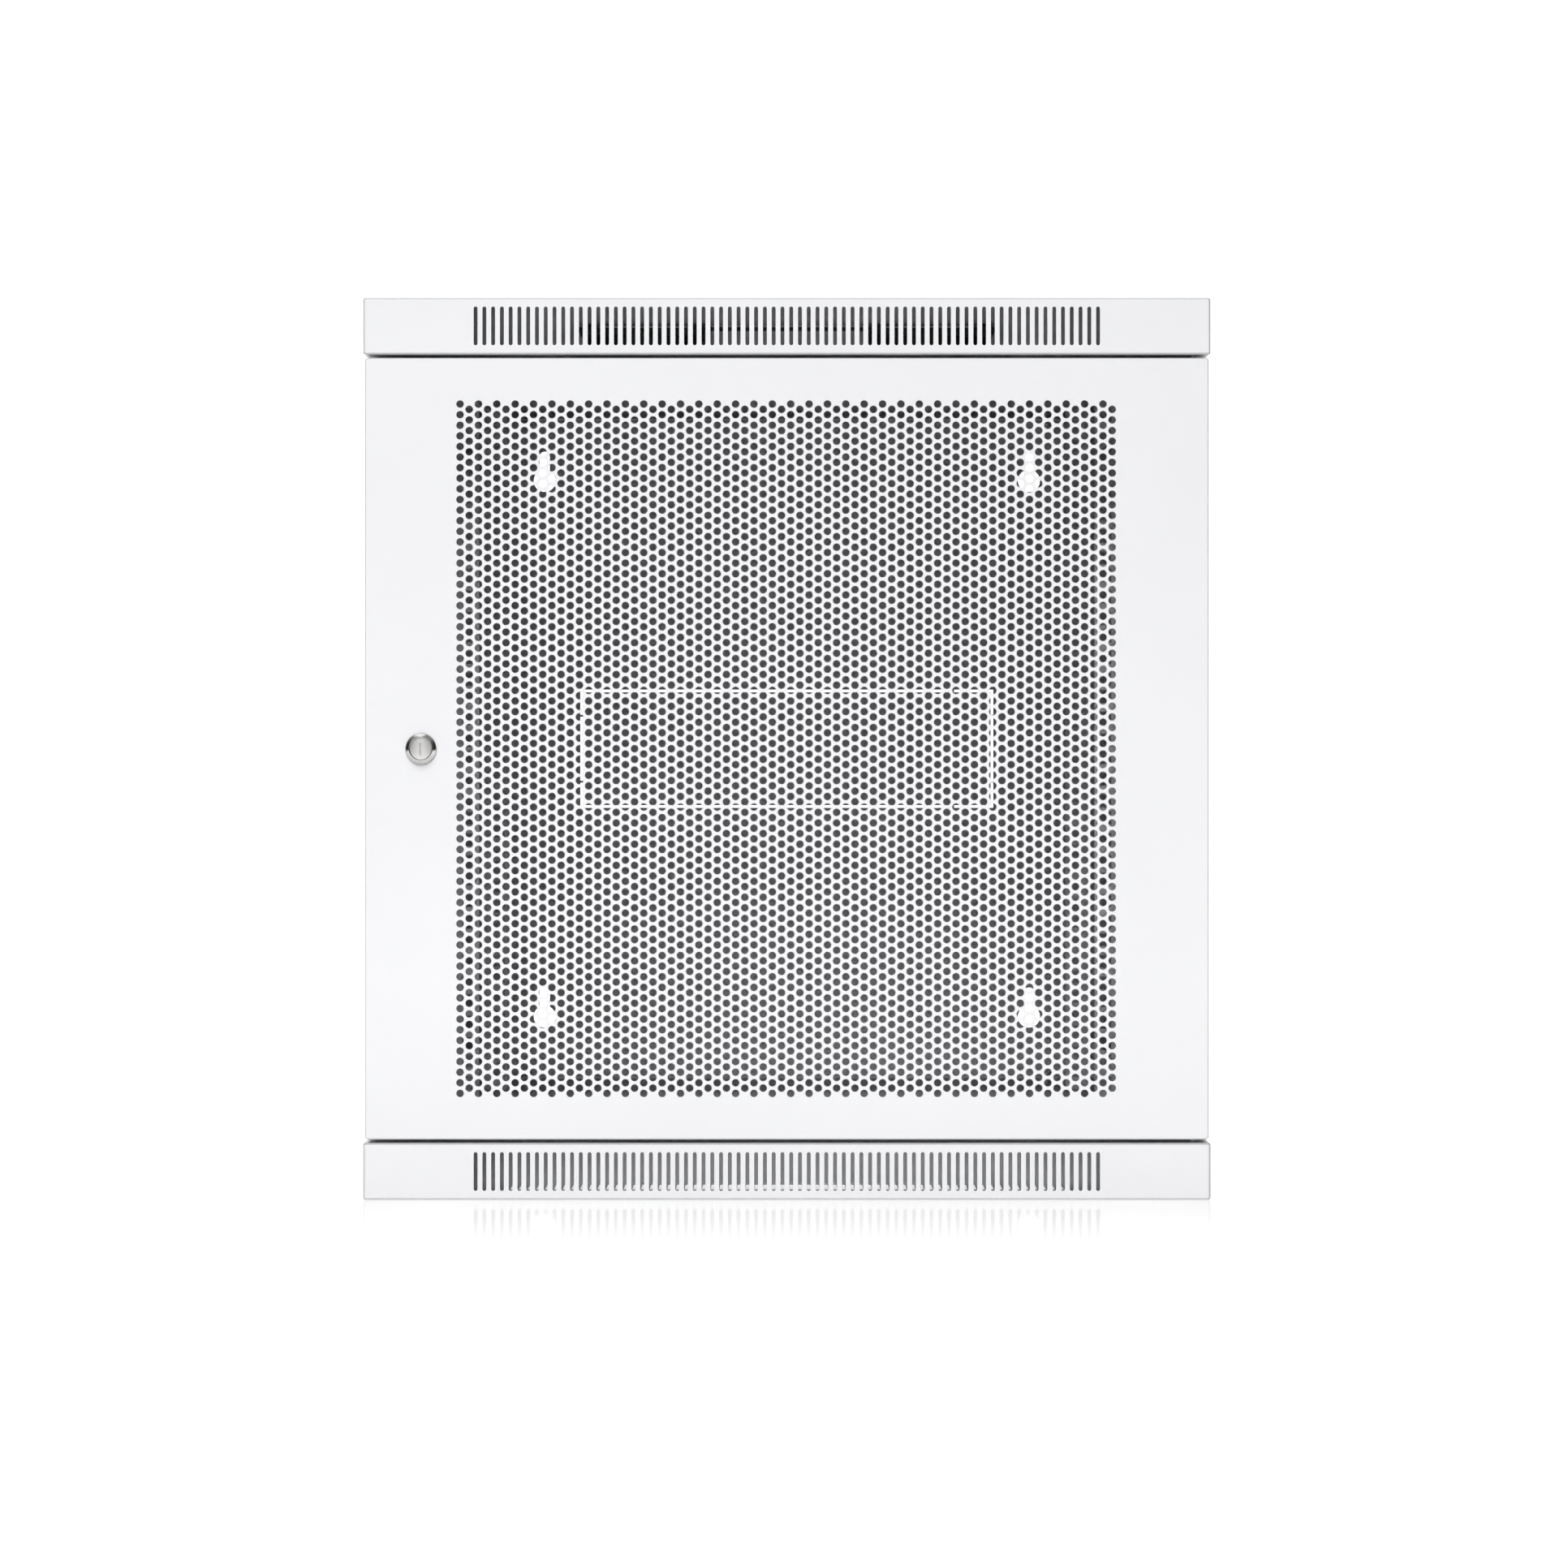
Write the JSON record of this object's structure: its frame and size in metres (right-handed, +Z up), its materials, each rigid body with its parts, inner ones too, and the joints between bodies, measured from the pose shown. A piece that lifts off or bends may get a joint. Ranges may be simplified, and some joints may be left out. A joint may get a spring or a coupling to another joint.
{
  "type": "wall-mount network rack cabinet",
  "caption": "Light grey sheet-metal wall cabinet for 19 inch equipment, with vented covers, a perforated lockable front door, sliding mounting rails, removable side panels and roof fans.",
  "frame": {"origin": "on the floor, under the middle of the cabinet", "axes": "+X to the right of someone facing the door, +Y towards the wall behind the cabinet, +Z up"},
  "size_m": [0.6, 0.453, 0.638],
  "materials": {
    "paint": "satin powder coat",
    "zinc": "zinc plated",
    "nickel": "bright nickel plated",
    "fan_plastic": "matt"
  },
  "bodies": {
    "cabinet": {"top_cover": "paint", "bottom_cover": "paint", "back_panel": "paint", "front_left_post": "paint", "rear_left_post": "paint", "lower_left_brace": "zinc", "lower_front_left_nut": "zinc", "lower_rear_left_nut": "zinc", "lower_left_back_screw": "zinc", "upper_left_brace": "zinc", "upper_front_left_nut": "zinc", "upper_rear_left_nut": "zinc", "upper_left_back_screw": "zinc", "left_fan_frame": "fan_plastic", "front_right_post": "paint", "rear_right_post": "paint", "lower_right_brace": "zinc", "lower_front_right_nut": "zinc", "lower_rear_right_nut": "zinc", "lower_right_back_screw": "zinc", "upper_right_brace": "zinc", "upper_front_right_nut": "zinc", "upper_rear_right_nut": "zinc", "upper_right_back_screw": "zinc", "right_fan_frame": "fan_plastic", "fan_plate": "fan_plastic"},
    "door": {"door_leaf": "paint", "door_lock_stiffener": "paint", "door_hinge_stiffener": "paint", "bottom_hinge_pin": "zinc", "hinge_pin_bracket": "zinc", "hinge_spring": "zinc", "door_lock_barrel": "nickel", "door_lock_nut": "zinc"},
    "door_lock_turning_parts": {"door_lock_plug": "nickel", "door_lock_cam": "zinc", "door_cam_screw": "zinc"},
    "sprung_hinge_pin": {"top_hinge_pin": "zinc"},
    "front_left_mounting_rail": {"front_left_rail": "paint", "lower_front_left_rail_bolt": "zinc", "upper_front_left_rail_bolt": "zinc"},
    "rear_left_mounting_rail": {"rear_left_rail": "paint", "lower_rear_left_rail_bolt": "zinc", "upper_rear_left_rail_bolt": "zinc"},
    "left_side_cover": {"left_side_panel": "paint", "left_side_lock_barrel": "nickel"},
    "left_side_lock_turning_parts": {"left_side_lock_plug": "nickel", "left_side_lock_cam": "zinc"},
    "left_fan_spinner": {"left_fan_rotor": "fan_plastic"},
    "front_right_mounting_rail": {"front_right_rail": "paint", "lower_front_right_rail_bolt": "zinc", "upper_front_right_rail_bolt": "zinc"},
    "rear_right_mounting_rail": {"rear_right_rail": "paint", "lower_rear_right_rail_bolt": "zinc", "upper_rear_right_rail_bolt": "zinc"},
    "right_side_cover": {"right_side_panel": "paint", "right_side_lock_barrel": "nickel"},
    "right_side_lock_turning_parts": {"right_side_lock_plug": "nickel", "right_side_lock_cam": "zinc"},
    "right_fan_spinner": {"right_fan_rotor": "fan_plastic"}
  },
  "joints": [
    {"name": "door_swing", "type": "hinge", "parent": "cabinet", "child": "door", "pos_m": [0.288, -0.215, 0.319], "axis": [0, 0, 1], "range_deg": [0, 180]},
    {"name": "door_key_turn", "type": "hinge", "parent": "door", "child": "door_lock_turning_parts", "pos_m": [-0.2587, -0.225, 0.319], "axis": [0, -1, 0], "range_deg": [0, 90]},
    {"name": "hinge_pin_pull", "type": "slide", "parent": "door", "child": "sprung_hinge_pin", "axis": [0, 0, 1], "range_m": [-0.0075, 0], "stiffness_N_per_m": 800, "springref_m": 0.004, "deforming": ["hinge_spring"]},
    {"name": "front_left_rail_shift", "type": "slide", "parent": "cabinet", "child": "front_left_mounting_rail", "axis": [0, 1, 0], "range_m": [-0.022, 0.1]},
    {"name": "rear_left_rail_shift", "type": "slide", "parent": "cabinet", "child": "rear_left_mounting_rail", "axis": [0, 1, 0], "range_m": [-0.1, 0.06]},
    {"name": "left_side_cover_lift_off", "type": "slide", "parent": "cabinet", "child": "left_side_cover", "axis": [-1, 0, 0], "range_m": [0, 0.08]},
    {"name": "left_side_key_turn", "type": "hinge", "parent": "left_side_cover", "child": "left_side_lock_turning_parts", "pos_m": [-0.2985, -0.165, 0.319], "axis": [1, 0, 0], "range_deg": [0, 90]},
    {"name": "left_fan_spin", "type": "hinge", "parent": "cabinet", "child": "left_fan_spinner", "pos_m": [-0.108, -0.055, 0.619], "axis": [0, 0, 1], "continuous": true},
    {"name": "front_right_rail_shift", "type": "slide", "parent": "cabinet", "child": "front_right_mounting_rail", "axis": [0, 1, 0], "range_m": [-0.022, 0.1]},
    {"name": "rear_right_rail_shift", "type": "slide", "parent": "cabinet", "child": "rear_right_mounting_rail", "axis": [0, 1, 0], "range_m": [-0.1, 0.06]},
    {"name": "right_side_cover_lift_off", "type": "slide", "parent": "cabinet", "child": "right_side_cover", "axis": [1, 0, 0], "range_m": [0, 0.08]},
    {"name": "right_side_key_turn", "type": "hinge", "parent": "right_side_cover", "child": "right_side_lock_turning_parts", "pos_m": [0.2985, -0.165, 0.319], "axis": [1, 0, 0], "range_deg": [0, 90]},
    {"name": "right_fan_spin", "type": "hinge", "parent": "cabinet", "child": "right_fan_spinner", "pos_m": [0.108, -0.055, 0.619], "axis": [0, 0, 1], "continuous": true}
  ]
}
